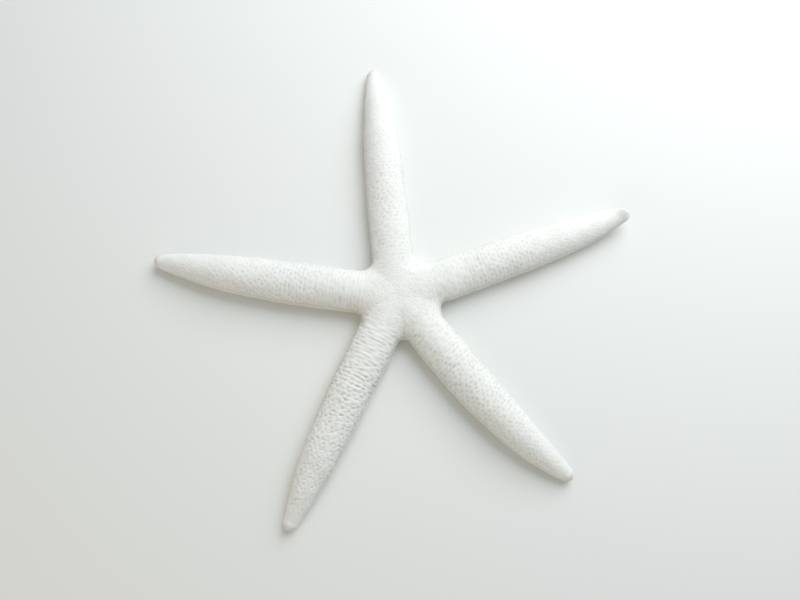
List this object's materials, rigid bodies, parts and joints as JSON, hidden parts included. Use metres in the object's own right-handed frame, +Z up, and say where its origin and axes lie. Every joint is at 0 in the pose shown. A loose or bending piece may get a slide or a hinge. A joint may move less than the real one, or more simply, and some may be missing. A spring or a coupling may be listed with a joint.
{
  "type": "dried starfish",
  "caption": "Bleached white dried finger starfish with long round arms around a small disc, lying flat on its grooved underside as an ornament.",
  "frame": {"origin": "on the surface that the starfish rests on, under the middle of its bounding box", "axes": "+Z up, out of the back of the disc; +X to the right and +Y away from someone who looks down on the back"},
  "size_m": [0.2374, 0.2324, 0.0146],
  "materials": {
    "bleached_skeleton": "chalky matt, bleached white, with fine plates and granules"
  },
  "bodies": {
    "root": {"starfish": "bleached_skeleton"}
  },
  "joints": []
}
